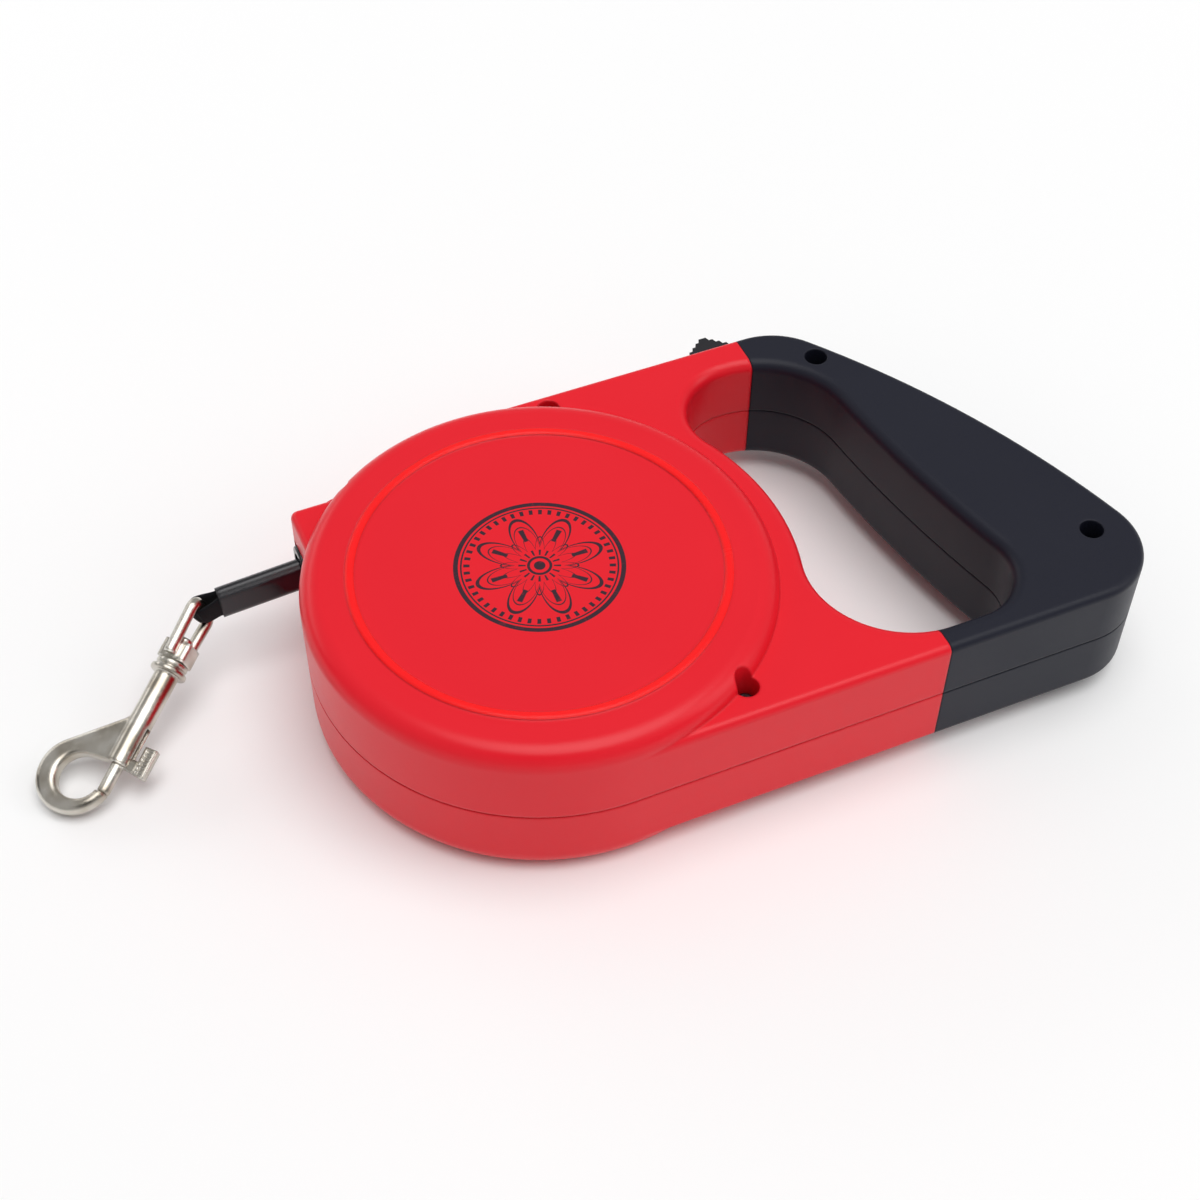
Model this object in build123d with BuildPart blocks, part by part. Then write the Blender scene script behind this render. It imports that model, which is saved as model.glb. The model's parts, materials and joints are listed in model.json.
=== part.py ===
from build123d import *
import os
from math import acos, cos, degrees, pi, radians, sin, sqrt

# Retractable tape leash for a small dog, millimetres.
# It lies on its rear face. The origin is on the reel axis in the plane of that face, +Z is the reel
# axis, +X points to the hand grip and +Y to the brake button. The tape leaves towards -X.

# ---------------------------------------------------------------- driving dimensions
CASE_HEIGHT = 38.0          # rear face to front face
PARTING = CASE_HEIGHT / 2   # height of the joint between the front and rear shells
WALL = 2.0
SHADOW_LINE = 0.35          # width and depth of the groove along the parting joint

DRUM_RADIUS = 49.7
DRUM_FRONT_ROUND = 4.5
DRUM_REAR_ROUND = 6.0
BEAD_RADIUS = 40.0          # raised ring on each face of the drum
BEAD_WIDTH = 1.9
BEAD_HEIGHT = 0.5

STEP_DOWN = 4.4             # the arms and the grip are this much lower than each face
ARM_TOP = CASE_HEIGHT - STEP_DOWN
ARM_BOTTOM = STEP_DOWN
RIM_ROUND = 1.6             # outer edges of the arms and the grip
GRIP_ROUND = 2.6            # edges of the hand opening
FAR_WALL = 51.0             # distance from the reel axis to the wall that holds the button
FAR_WALL_START = 11.0       # where that straight wall meets the drum
SEAM_X = 69.5               # joint between the red case and the black handle
SEAM_GAP = 0.1

GRIP_FAR = (80.0, FAR_WALL)             # corners of the grip's outside before rounding
GRIP_NEAR = (126.5, -DRUM_RADIUS)
GRIP_OUTER_MID = (104.7, 13.6)          # point of the arc between them
HAND_FAR = (82.0, 42.5)                 # corners of the opening on the grip side before rounding
HAND_NEAR = (97.6, -43.3)
GRIP_INNER_MID = (86.5, 0.0)            # point of the arc facing the fingers
GRIP_FAR_CORNER = 17.0
GRIP_NEAR_CORNER = 15.5
HAND_ARC = 55.4             # the drum side of the hand opening, about the reel axis
HAND_CORNERS = (13.0, 20.0, 12.5, 21.0)   # drum-far, grip-far, grip-near, drum-near

SNOUT_X = -42.0             # front of the tape outlet
SNOUT_Y = 39.2
SNOUT_CORNER = 1.7

FACE_SCREWS = ((27.0, -42.2), (21.0, 46.4))
EAR_SCREW = ((-30.5, 40.5),)
HANDLE_SCREWS = ((84.0, 38.3), (113.2, -32.6))
SCREW_SEAT = 27.6           # height of the face under the screw heads
EAR_SEAT = 24.0             # the same in the low ear beside the tape outlet
SCREW_HEAD = 2.1
SCREW_HEAD_HEIGHT = 1.7
SCREW_SHANK = 1.1
SCREW_LENGTH = 14.0         # under the head
COUNTERBORE = 2.6
BOSS_RADIUS = 4.0
EAR_BOTTOM = 9.0
EAR_TOP = 27.5

TAPE_Y = 34.0               # the tape leaves on this line, on the drum's mid height
TAPE_WIDTH = 7.0
TAPE_THICKNESS = 0.9
HUB_RADIUS = 18.0

AXLE_RADIUS = 3.0
ARBOR_RADIUS = 4.5          # thick lower part of the axle, which holds the spring's inner end
RUNNING_GAP = 0.05

RATCHET_TIP = 45.4
RATCHET_ROOT = 43.4
RATCHET_TEETH = 36
REEL_BOTTOM = 4.2
CHAMBER_TOP = 13.8          # top of the spring chamber, under the lower flange
LOWER_FLANGE_TOP = 15.2
UPPER_FLANGE = 22.8
UPPER_FLANGE_TOP = 25.4
REEL_TOP = 32.6

NOZZLE_WIDTH = 7.4
NOZZLE_HEIGHT = 14.0
NOZZLE_DEPTH = 7.0
NOZZLE_LIP = 0.6
MOUTH_WIDTH = 4.8
MOUTH_HEIGHT = 10.8
MOUTH_DEPTH = 3.0

AXLE_FOOT = 6.0
COVER = 1.2
WASHER = 0.8
CHAMBER_RADIUS = 29.0
LOWER_FLANGE = 41.5
REEL_RIBS = 6
RIB_REACH = 30.0
SPRING_TURNS = 9
SPRING_STRIP = 0.35

TONGUE_LENGTH = 8.0
TONGUE_THICKNESS = 1.6

LEVER_PIVOT = (31.0, 45.0)
LEVER_BOSS = 3.2
LEVER_BOTTOM = 14.0
LEVER_TOP = 25.2
LEVER_THICKNESS = 1.6
PIN_RADIUS = 1.2
PAWL_PHASE = -0.33          # share of a tooth pitch that puts a gap under the pawl
PAWL_LENGTH = 4.5
RAIL_WIDTH = 3.0
RAIL_HEIGHT = 2.6
RAIL_LENGTH = 14.0
RAIL_SHIFT = -1.0
SPRING_X = 44.2
SPRING_Z = 16.6
SPRING_FOOT_Y = 33.5
SPRING_HEAD_Y = 44.6
SPRING_RADIUS = 1.9
BUTTON_TEETH = 10           # on each slope
PAWL_TIP_RADIUS = 46.0
PAWL_ANGLE = 32.2           # direction of the pawl tip from the reel axis
BUTTON_CENTRE = 67.0
BUTTON_PEAK = 62.6
BUTTON_HALF = 13.0
BUTTON_WIDTH = 12.0
LOCK_TRAVEL = 3.0

LEASH_DROOP = 4.0           # degrees the leash end hangs below the horizontal
SLEEVE_START = -40.6
RUN_START = -10.0
SLEEVE_LENGTH = 20.4
SLEEVE_THICKNESS = 3.4
SLEEVE_WIDTH = 8.1
SLEEVE_WALL = 0.4
SNAP_HEADING = 222.5        # compass of the snap seen from above, degrees from +X
SNAP_TILT = 17.0            # degrees the snap leans down to the table
EYE_TWIST = 84.0            # the swivel eye's turn about the snap's long axis
EYE_WIRE = 1.3
EYE_HALF = 4.2              # half width of the stirrup's wire path at the bar
EYE_CORNER = 1.9
EYE_REACH = 3.7             # eye bar's distance beyond the sleeve
LOOP_WIDTH = 4.5
LOOP_GAP = 0.15
LOOP_STRETCH = 0.6
HUB_START = 9.2
HUB_END = 13.4
HUB_LEGS = 3.45             # the legs run down two sides of the hub block, half sunk in it
LEG_END = 12.6
HUB_WIDTH = 5.2             # between those two sides
HUB_DEPTH = 6.6             # the other way
RIVET_RADIUS = 1.3
RIVET_HEAD = 1.9
PLUG_END = 18.0
HOOK_OUTER = 8.5
HOOK_OUTER_CENTRE = (43.6, -7.3)
HOOK_INNER = 4.95
HOOK_INNER_CENTRE = (43.6, -6.2)
MOUTH_LOW = -2.3
WEB_ROOT = 22.0             # the web grows out of the barrel from here
WEB_BEND = (27.0, -1.7)     # and turns away from it here
WEB_ROUND = 6.0
BARREL_RADIUS = 2.65
BARREL_END = 38.3
BOLT_RADIUS = 1.4
HOOK_TIP = 45.1
HOOK_THICKNESS = 3.6
HOOK_ROUND = 1.5
HOOK_EYE_ROUND = 0.9
COLLAR_START = 13.6
COLLAR_RADIUS = 4.0
SLOT_START = 29.0
SLOT_WIDTH = 1.9
BOLT_BACK = 30.2
TAB_STEM = 36.2
TAB_THICKNESS = 1.8
TAB_INNER = 4.1
TAB_OUTER = 6.9
TAB_BACK = 32.7
TAB_FRONT = 39.3
TAB_GROOVE = 0.5
TAB_GROOVES = 6

os.makedirs("parts", exist_ok=True)


def level(height):
    """The horizontal plane at a height above the rear face."""
    return Plane.XY.offset(height)


# ---------------------------------------------------------------- outlines seen from the front
def hand_opening(inset=0.0):
    """The hole for the fingers: four sides, then rounded corners; a positive inset enlarges it."""
    drum_far = (sqrt(HAND_ARC**2 - HAND_FAR[1] ** 2), HAND_FAR[1])
    drum_near = (sqrt(HAND_ARC**2 - HAND_NEAR[1] ** 2), HAND_NEAR[1])
    with BuildSketch() as opening:
        with BuildLine():
            ThreePointArc(drum_near, (HAND_ARC, 0), drum_far)
            Line(drum_far, HAND_FAR)
            ThreePointArc(HAND_FAR, GRIP_INNER_MID, HAND_NEAR)
            Line(HAND_NEAR, drum_near)
        make_face()
        for point, radius in zip((drum_far, HAND_FAR, HAND_NEAR, drum_near), HAND_CORNERS):
            corner = opening.vertices().sort_by_distance(Vector(*point))[0]
            fillet(corner, radius)
        if inset:
            offset(amount=inset)
    return opening.sketch


def body_outline():
    """Drum, both arms and the grip, without the tape outlet and the hand opening."""
    with BuildSketch() as outline:
        Circle(DRUM_RADIUS)
        with BuildLine():
            Polyline((0, 0), (0, -DRUM_RADIUS), GRIP_NEAR)
            ThreePointArc(GRIP_NEAR, GRIP_OUTER_MID, GRIP_FAR)
            Polyline(GRIP_FAR, (FAR_WALL_START, FAR_WALL), (0, DRUM_RADIUS), (0, 0))
        make_face()
        far = outline.vertices().sort_by_distance(Vector(*GRIP_FAR))[0]
        fillet(far, GRIP_FAR_CORNER)
        near = outline.vertices().sort_by_distance(Vector(*GRIP_NEAR))[0]
        fillet(near, GRIP_NEAR_CORNER)
    return outline.sketch


def whole_outline():
    """The body outline with the squarish tape outlet."""
    with BuildSketch() as outline:
        add(body_outline())
        with Locations((SNOUT_X / 2, SNOUT_Y / 2)):
            RectangleRounded(-SNOUT_X, SNOUT_Y, SNOUT_CORNER)
    return outline.sketch


def drum_section(radius, bottom, top, rear_round, front_round):
    """Half section of a drum about the reel axis, with rounded rims."""
    with BuildSketch(Plane.XZ) as section:
        with Locations((radius / 2, (bottom + top) / 2)):
            Rectangle(radius, top - bottom)
        # in the plane of this sketch y is the height
        rear_corner = section.vertices().group_by(Axis.X)[-1].sort_by(Axis.Y)[0]
        fillet(rear_corner, rear_round)
        front_corner = section.vertices().group_by(Axis.Y)[-1].sort_by(Axis.X)[-1]
        fillet(front_corner, front_round)
    return section.sketch


# ---------------------------------------------------------------- outer form and its hollow
opening = hand_opening()
opening_wall = hand_opening(WALL)
drum_outside = drum_section(DRUM_RADIUS, 0, CASE_HEIGHT, DRUM_REAR_ROUND, DRUM_FRONT_ROUND)
cavity_radius = DRUM_RADIUS - WALL
drum_inside = drum_section(cavity_radius, WALL, CASE_HEIGHT - WALL, DRUM_REAR_ROUND - WALL,
                           DRUM_FRONT_ROUND - WALL)

with BuildPart() as outer_form:
    with BuildSketch(level(ARM_BOTTOM)):
        add(whole_outline())
    extrude(amount=ARM_TOP - ARM_BOTTOM)
    fillet(outer_form.edges().group_by(Axis.Z)[-1], RIM_ROUND)
    fillet(outer_form.edges().group_by(Axis.Z)[0], RIM_ROUND)
    with BuildSketch(level(ARM_BOTTOM)):
        add(opening)
    extrude(amount=ARM_TOP - ARM_BOTTOM, mode=Mode.SUBTRACT)
    opening_edges = outer_form.edges(Select.LAST).group_by(Axis.Z)
    fillet(opening_edges[0] + opening_edges[-1], GRIP_ROUND)
    add(drum_outside)
    revolve(axis=Axis.Z)
    # the ear of the third screw, low on the drum wall beside the tape outlet
    with BuildSketch(level(EAR_BOTTOM)):
        with Locations(EAR_SCREW[0]):
            Circle(BOSS_RADIUS)
    extrude(amount=EAR_TOP - EAR_BOTTOM)

with BuildPart() as hollow_form:
    with BuildSketch(level(ARM_BOTTOM + WALL)):
        add(body_outline())
        offset(amount=-WALL)
        add(opening_wall, mode=Mode.SUBTRACT)
    extrude(amount=ARM_TOP - ARM_BOTTOM - 2 * WALL)
    add(drum_inside)
    revolve(axis=Axis.Z)
    with BuildSketch(level(0)):
        with Locations(*FACE_SCREWS, *EAR_SCREW, *HANDLE_SCREWS):
            Circle(BOSS_RADIUS)
    extrude(amount=CASE_HEIGHT, mode=Mode.SUBTRACT)

with BuildPart() as parting_groove:
    # a thin frame that straddles the outer walls and those of the opening
    with BuildSketch(level(PARTING - SHADOW_LINE / 2)):
        add(whole_outline())
        add(opening, mode=Mode.SUBTRACT)
        offset(amount=SHADOW_LINE)
    extrude(amount=SHADOW_LINE)
    with BuildSketch(level(PARTING - SHADOW_LINE / 2)):
        add(whole_outline())
        add(opening, mode=Mode.SUBTRACT)
        offset(amount=-SHADOW_LINE)
    extrude(amount=SHADOW_LINE, mode=Mode.SUBTRACT)


def half_shell(front, handle):
    """One hollow quarter of the body: front or rear of the parting joint, case or handle side."""
    with BuildPart() as half:
        add(outer_form.part)
        add(hollow_form.part, mode=Mode.SUBTRACT)
        add(parting_groove.part, mode=Mode.SUBTRACT)
        split(bisect_by=level(PARTING), keep=Keep.TOP if front else Keep.BOTTOM)
        if handle:
            split(bisect_by=Plane.YZ.offset(SEAM_X + SEAM_GAP), keep=Keep.TOP)
        else:
            split(bisect_by=Plane.YZ.offset(SEAM_X), keep=Keep.BOTTOM)
    return half.part


def box_between(low, high):
    """A block from its lowest corner to its highest corner."""
    with BuildPart() as block:
        middle = tuple((a + b) / 2 for a, b in zip(low, high))
        with Locations(middle):
            Box(*[b - a for a, b in zip(low, high)])
    return block.part


# ---------------------------------------------------------------- places shared by the shells
button_window = box_between(
    (BUTTON_CENTRE - BUTTON_HALF - 0.5, FAR_WALL - 3 * WALL, PARTING - BUTTON_WIDTH / 2 - 0.4),
    (BUTTON_CENTRE + BUTTON_HALF + LOCK_TRAVEL + 0.5, FAR_WALL + 1, PARTING + BUTTON_WIDTH / 2 + 0.4),
)
nozzle_seat = box_between(
    (SNOUT_X - 1, TAPE_Y - NOZZLE_WIDTH / 2 - 0.05, PARTING - NOZZLE_HEIGHT / 2 - 0.05),
    (SNOUT_X + NOZZLE_DEPTH, TAPE_Y + NOZZLE_WIDTH / 2 + 0.05, PARTING + NOZZLE_HEIGHT / 2 + 0.05),
)
tape_channel = box_between(
    (SNOUT_X + NOZZLE_DEPTH - 1, TAPE_Y - 1.6, PARTING - TAPE_WIDTH / 2 - 1),
    (-25.0, TAPE_Y + 1.6, PARTING + TAPE_WIDTH / 2 + 1),
)


def joint_tongues(front):
    """Flat tongues on a handle shell that slide inside the two arms of the case."""
    low = PARTING + 0.3 if front else ARM_BOTTOM + WALL + 0.1
    high = ARM_TOP - WALL - 0.1 if front else PARTING - 0.3
    near_y = -DRUM_RADIUS + WALL + 0.1
    far_y = FAR_WALL - WALL - 0.1
    far_low = PARTING + BUTTON_WIDTH / 2 + 1.2 if front else low
    far_high = high if front else PARTING - BUTTON_WIDTH / 2 - 1.2
    root = SEAM_X + SEAM_GAP
    near_inner = near_y + TONGUE_THICKNESS
    far_inner = far_y - TONGUE_THICKNESS
    with BuildPart() as tongues:
        add(box_between((SEAM_X - TONGUE_LENGTH, near_y, low), (root + WALL, near_inner, high)))
        add(box_between((SEAM_X - TONGUE_LENGTH, far_inner, far_low), (root + WALL, far_y, far_high)))
        # the roots are thicker and run into the handle's own walls
        add(box_between((root, near_y - 0.5, low), (root + WALL, near_inner, high)))
        add(box_between((root, far_inner, far_low), (root + WALL, far_y + 0.5, far_high)))
    return tongues.part


def screw_holes(places, seat_height):
    """Clearance holes and deep counterbores for screws that enter from the front."""
    with BuildPart() as holes:
        with BuildSketch(level(seat_height)):
            with Locations(*places):
                Circle(COUNTERBORE)
        extrude(amount=CASE_HEIGHT)
        with BuildSketch(level(PARTING - 1)):
            with Locations(*places):
                Circle(SCREW_SHANK + 0.2)
        extrude(amount=seat_height - PARTING + 1)
    return holes.part


def pilot_holes(places, seat_height):
    """Blind holes in the rear bosses, as wide as the screw shanks and a little deeper."""
    with BuildPart() as holes:
        with BuildSketch(level(seat_height - SCREW_LENGTH - 0.5)):
            with Locations(*places):
                Circle(SCREW_SHANK)
        extrude(amount=PARTING)
    return holes.part


# ---------------------------------------------------------------- shells
with BuildPart() as face_bead:
    with BuildSketch(level(CASE_HEIGHT)):
        Circle(BEAD_RADIUS)
        Circle(BEAD_RADIUS - BEAD_WIDTH, mode=Mode.SUBTRACT)
    extrude(amount=BEAD_HEIGHT)
    chamfer(face_bead.edges().group_by(Axis.Z)[-1], BEAD_HEIGHT * 0.6)

case_front_blank = half_shell(front=True, handle=False)
case_screw_holes = screw_holes(FACE_SCREWS, SCREW_SEAT)
ear_screw_hole = screw_holes(EAR_SCREW, EAR_SEAT)
with BuildPart() as case_front:
    add(case_front_blank)
    add(face_bead.part)
    add(case_screw_holes, mode=Mode.SUBTRACT)
    add(ear_screw_hole, mode=Mode.SUBTRACT)
    add(button_window, mode=Mode.SUBTRACT)
    add(nozzle_seat, mode=Mode.SUBTRACT)
    add(tape_channel, mode=Mode.SUBTRACT)
    # socket for the top of the axle
    with BuildSketch(level(REEL_TOP + WASHER + 0.1)):
        Circle(AXLE_RADIUS + WALL)
        Circle(AXLE_RADIUS + 0.02, mode=Mode.SUBTRACT)
    extrude(amount=CASE_HEIGHT - WALL - REEL_TOP - WASHER - 0.1)
case_front.part.label = "case_front"
export_step(case_front.part, "parts/case_front.step")

case_rear_blank = half_shell(front=False, handle=False)
case_pilots = pilot_holes(FACE_SCREWS, SCREW_SEAT)
ear_pilot = pilot_holes(EAR_SCREW, EAR_SEAT)
with BuildPart() as case_rear:
    add(case_rear_blank)
    add(case_pilots, mode=Mode.SUBTRACT)
    add(ear_pilot, mode=Mode.SUBTRACT)
    add(button_window, mode=Mode.SUBTRACT)
    add(nozzle_seat, mode=Mode.SUBTRACT)
    add(tape_channel, mode=Mode.SUBTRACT)
    # raised seat under the axle's foot
    with BuildSketch(level(WALL)):
        Circle(AXLE_FOOT + 1.5)
    extrude(amount=REEL_BOTTOM - WALL - 0.2)
    with BuildSketch(level(WALL)):
        RegularPolygon(AXLE_FOOT, 6)
    extrude(amount=REEL_BOTTOM, mode=Mode.SUBTRACT)
    # post that carries the lever's pivot pin
    with BuildSketch(level(ARM_BOTTOM)):
        with Locations(LEVER_PIVOT):
            Circle(LEVER_BOSS)
    extrude(amount=LEVER_BOTTOM - ARM_BOTTOM - 0.1)
    with BuildSketch(level(ARM_BOTTOM + WALL)):
        with Locations(LEVER_PIVOT):
            Circle(PIN_RADIUS)
    extrude(amount=LEVER_BOTTOM, mode=Mode.SUBTRACT)
    # shelf for the foot of the brake spring
    add(box_between((SPRING_X - 3, SPRING_FOOT_Y - 2, ARM_BOTTOM + WALL - 0.5),
                    (SPRING_X + 3, SPRING_FOOT_Y, PARTING - 0.1)))
case_rear.part.label = "case_rear"
export_step(case_rear.part, "parts/case_rear.step")

handle_front_blank = half_shell(front=True, handle=True)
handle_screw_holes = screw_holes(HANDLE_SCREWS, SCREW_SEAT)
front_tongues = joint_tongues(front=True)
with BuildPart() as handle_front:
    add(handle_front_blank)
    add(front_tongues)
    add(handle_screw_holes, mode=Mode.SUBTRACT)
    add(button_window, mode=Mode.SUBTRACT)
handle_front.part.label = "handle_front"
export_step(handle_front.part, "parts/handle_front.step")

handle_rear_blank = half_shell(front=False, handle=True)
handle_pilots = pilot_holes(HANDLE_SCREWS, SCREW_SEAT)
rear_tongues = joint_tongues(front=False)
with BuildPart() as handle_rear:
    add(handle_rear_blank)
    add(rear_tongues)
    add(handle_pilots, mode=Mode.SUBTRACT)
    add(button_window, mode=Mode.SUBTRACT)
handle_rear.part.label = "handle_rear"
export_step(handle_rear.part, "parts/handle_rear.step")


# ---------------------------------------------------------------- screws
def self_tapping_screws(places, seat_height):
    """Pan-head screws with a cross recess, standing in their bosses."""
    with BuildPart() as screws:
        with BuildSketch(level(seat_height - SCREW_LENGTH)):
            with Locations(*places):
                Circle(SCREW_SHANK)
        extrude(amount=SCREW_LENGTH)
        with BuildSketch(level(seat_height)):
            with Locations(*places):
                Circle(SCREW_HEAD)
        extrude(amount=SCREW_HEAD_HEIGHT)
        fillet(screws.edges().group_by(Axis.Z)[-1], 0.6)
        with BuildSketch(level(seat_height + SCREW_HEAD_HEIGHT - 0.9)):
            with Locations(*places):
                Rectangle(2.4, 0.6)
                Rectangle(0.6, 2.4)
        extrude(amount=1.5, mode=Mode.SUBTRACT)
    return screws.part


with BuildPart() as case_screws:
    add(self_tapping_screws(FACE_SCREWS, SCREW_SEAT))
    add(self_tapping_screws(EAR_SCREW, EAR_SEAT))
case_screws.part.label = "case_screws"
export_step(case_screws.part, "parts/case_screws.step")

with BuildPart() as handle_screws:
    add(self_tapping_screws(HANDLE_SCREWS, SCREW_SEAT))
handle_screws.part.label = "handle_screws"
export_step(handle_screws.part, "parts/handle_screws.step")

# ---------------------------------------------------------------- tape outlet
with BuildPart() as nozzle:
    with BuildSketch(Plane.YZ.offset(SNOUT_X - NOZZLE_LIP)):
        with Locations((TAPE_Y, PARTING)):
            RectangleRounded(NOZZLE_WIDTH, NOZZLE_HEIGHT, NOZZLE_WIDTH / 2 - 0.4)
    extrude(amount=NOZZLE_DEPTH + NOZZLE_LIP - 0.05)
    fillet(nozzle.edges().group_by(Axis.X)[0], 0.5)
    # wide mouth that swallows the sleeve, then a narrow slot for the tape
    with BuildSketch(Plane.YZ.offset(SNOUT_X - NOZZLE_LIP)):
        with Locations((TAPE_Y, PARTING)):
            RectangleRounded(MOUTH_WIDTH, MOUTH_HEIGHT, MOUTH_WIDTH / 2 - 0.1)
    extrude(amount=MOUTH_DEPTH, mode=Mode.SUBTRACT)
    with BuildSketch(Plane.YZ.offset(SNOUT_X - NOZZLE_LIP)):
        with Locations((TAPE_Y, PARTING)):
            RectangleRounded(2 * TAPE_THICKNESS, TAPE_WIDTH + 1, TAPE_THICKNESS - 0.1)
    extrude(amount=NOZZLE_DEPTH + 2, mode=Mode.SUBTRACT)
nozzle.part.label = "nozzle"
export_step(nozzle.part, "parts/nozzle.step")

# ---------------------------------------------------------------- reel, axle and mainspring
with BuildPart() as axle:
    with BuildSketch(level(WALL)):
        RegularPolygon(AXLE_FOOT, 6)
    extrude(amount=REEL_BOTTOM - WALL - 0.1)
    with BuildSketch(level(REEL_BOTTOM - 0.1)):
        Circle(ARBOR_RADIUS)
    extrude(amount=CHAMBER_TOP - REEL_BOTTOM)
    with BuildSketch(level(CHAMBER_TOP - 0.1)):
        Circle(AXLE_RADIUS)
    extrude(amount=CASE_HEIGHT - WALL - CHAMBER_TOP)
    # slot across the arbor for the bent end of the mainspring
    with BuildSketch(level(REEL_BOTTOM + COVER + 0.4)):
        with Locations((ARBOR_RADIUS / 2, 0)):
            Rectangle(ARBOR_RADIUS + 1, 0.8)
    extrude(amount=CHAMBER_TOP - REEL_BOTTOM - COVER - 0.4, mode=Mode.SUBTRACT)
axle.part.label = "axle"
export_step(axle.part, "parts/axle.step")


def ratchet_outline():
    """Ring of saw teeth: a short land, a square drop that meets the pawl, then a slow rise."""
    pitch = 2 * pi / RATCHET_TEETH
    points = []
    for tooth in range(RATCHET_TEETH):
        start = radians(PAWL_ANGLE) + pitch * (tooth + PAWL_PHASE)
        # shares of a pitch: start and end of the land, foot of the square face, end of the root
        corners = ((0, RATCHET_TIP), (0.2, RATCHET_TIP), (0.23, RATCHET_ROOT), (0.6, RATCHET_ROOT))
        for share, radius in corners:
            angle = start + pitch * share
            points.append((radius * cos(angle), radius * sin(angle)))
    return points


with BuildPart() as reel:
    # spring chamber, open to the rear
    with BuildSketch(level(REEL_BOTTOM)):
        Circle(CHAMBER_RADIUS + WALL)
        Circle(CHAMBER_RADIUS, mode=Mode.SUBTRACT)
    extrude(amount=CHAMBER_TOP - REEL_BOTTOM)
    with BuildSketch(level(CHAMBER_TOP)):
        Circle(LOWER_FLANGE)
    extrude(amount=LOWER_FLANGE_TOP - CHAMBER_TOP)
    # hub that the tape winds on
    with BuildSketch(level(LOWER_FLANGE_TOP)):
        Circle(HUB_RADIUS)
    extrude(amount=UPPER_FLANGE - LOWER_FLANGE_TOP)
    with BuildSketch(level(UPPER_FLANGE)):
        with BuildLine():
            Polyline(*ratchet_outline(), close=True)
        make_face()
    extrude(amount=UPPER_FLANGE_TOP - UPPER_FLANGE)
    # boss and ribs above the ratchet
    with BuildSketch(level(UPPER_FLANGE_TOP)):
        Circle(AXLE_RADIUS + 3.5)
        with PolarLocations(0, REEL_RIBS):
            with Locations((RIB_REACH / 2, 0)):
                Rectangle(RIB_REACH, 1.6)
    extrude(amount=(REEL_TOP - UPPER_FLANGE_TOP) / 2)
    with BuildSketch(level(UPPER_FLANGE_TOP)):
        Circle(AXLE_RADIUS + 3.5)
    extrude(amount=REEL_TOP - UPPER_FLANGE_TOP)
    with BuildSketch(level(CHAMBER_TOP)):
        Circle(AXLE_RADIUS + RUNNING_GAP)
    extrude(amount=REEL_TOP - CHAMBER_TOP, mode=Mode.SUBTRACT)
    # recess for the cover of the spring chamber
    with BuildSketch(level(REEL_BOTTOM)):
        Circle(CHAMBER_RADIUS + WALL / 2)
    extrude(amount=COVER, mode=Mode.SUBTRACT)
reel.part.label = "reel"
export_step(reel.part, "parts/reel.step")

with BuildPart() as reel_cover:
    with BuildSketch(level(REEL_BOTTOM)):
        Circle(CHAMBER_RADIUS + WALL / 2)
        Circle(ARBOR_RADIUS + RUNNING_GAP, mode=Mode.SUBTRACT)
    extrude(amount=COVER)
reel_cover.part.label = "reel_cover"
export_step(reel_cover.part, "parts/reel_cover.step")

with BuildPart() as reel_washer:
    with BuildSketch(level(REEL_TOP + 0.05)):
        Circle(AXLE_RADIUS + 3)
        Circle(AXLE_RADIUS + RUNNING_GAP, mode=Mode.SUBTRACT)
    extrude(amount=WASHER - 0.05)
reel_washer.part.label = "reel_washer"
export_step(reel_washer.part, "parts/reel_washer.step")


def spiral(start_radius, end_radius, turns, shift):
    """Points of an Archimedean spiral, shifted outward."""
    steps = int(turns * 10)
    points = []
    for step in range(steps + 1):
        share = step / steps
        radius = start_radius + (end_radius - start_radius) * share + shift
        angle = 2 * pi * turns * share
        points.append((radius * cos(angle), radius * sin(angle)))
    return points


def spiral_band(start_radius, end_radius, turns, thickness):
    """Flat closed band wound as a spiral, seen from above."""
    with BuildSketch() as band:
        with BuildLine():
            inner = Spline(*spiral(start_radius, end_radius, turns, 0))
            outer = Spline(*spiral(start_radius, end_radius, turns, thickness))
            Line(inner @ 0, outer @ 0)
            Line(inner @ 1, outer @ 1)
        make_face()
    return band.sketch


spring_band = spiral_band(ARBOR_RADIUS + 0.5, CHAMBER_RADIUS - 0.8, SPRING_TURNS, SPRING_STRIP)
with BuildPart() as mainspring:
    with BuildSketch(level(REEL_BOTTOM + COVER + 0.5)):
        add(spring_band)
    extrude(amount=CHAMBER_TOP - REEL_BOTTOM - COVER - 1.0)
mainspring.part.label = "mainspring"
export_step(mainspring.part, "parts/mainspring.step")

# ---------------------------------------------------------------- brake
pivot = Vector(*LEVER_PIVOT)
pawl_tip = Vector(PAWL_TIP_RADIUS * cos(radians(PAWL_ANGLE)), PAWL_TIP_RADIUS * sin(radians(PAWL_ANGLE)))
arm_top = FAR_WALL - WALL - 0.15

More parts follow.
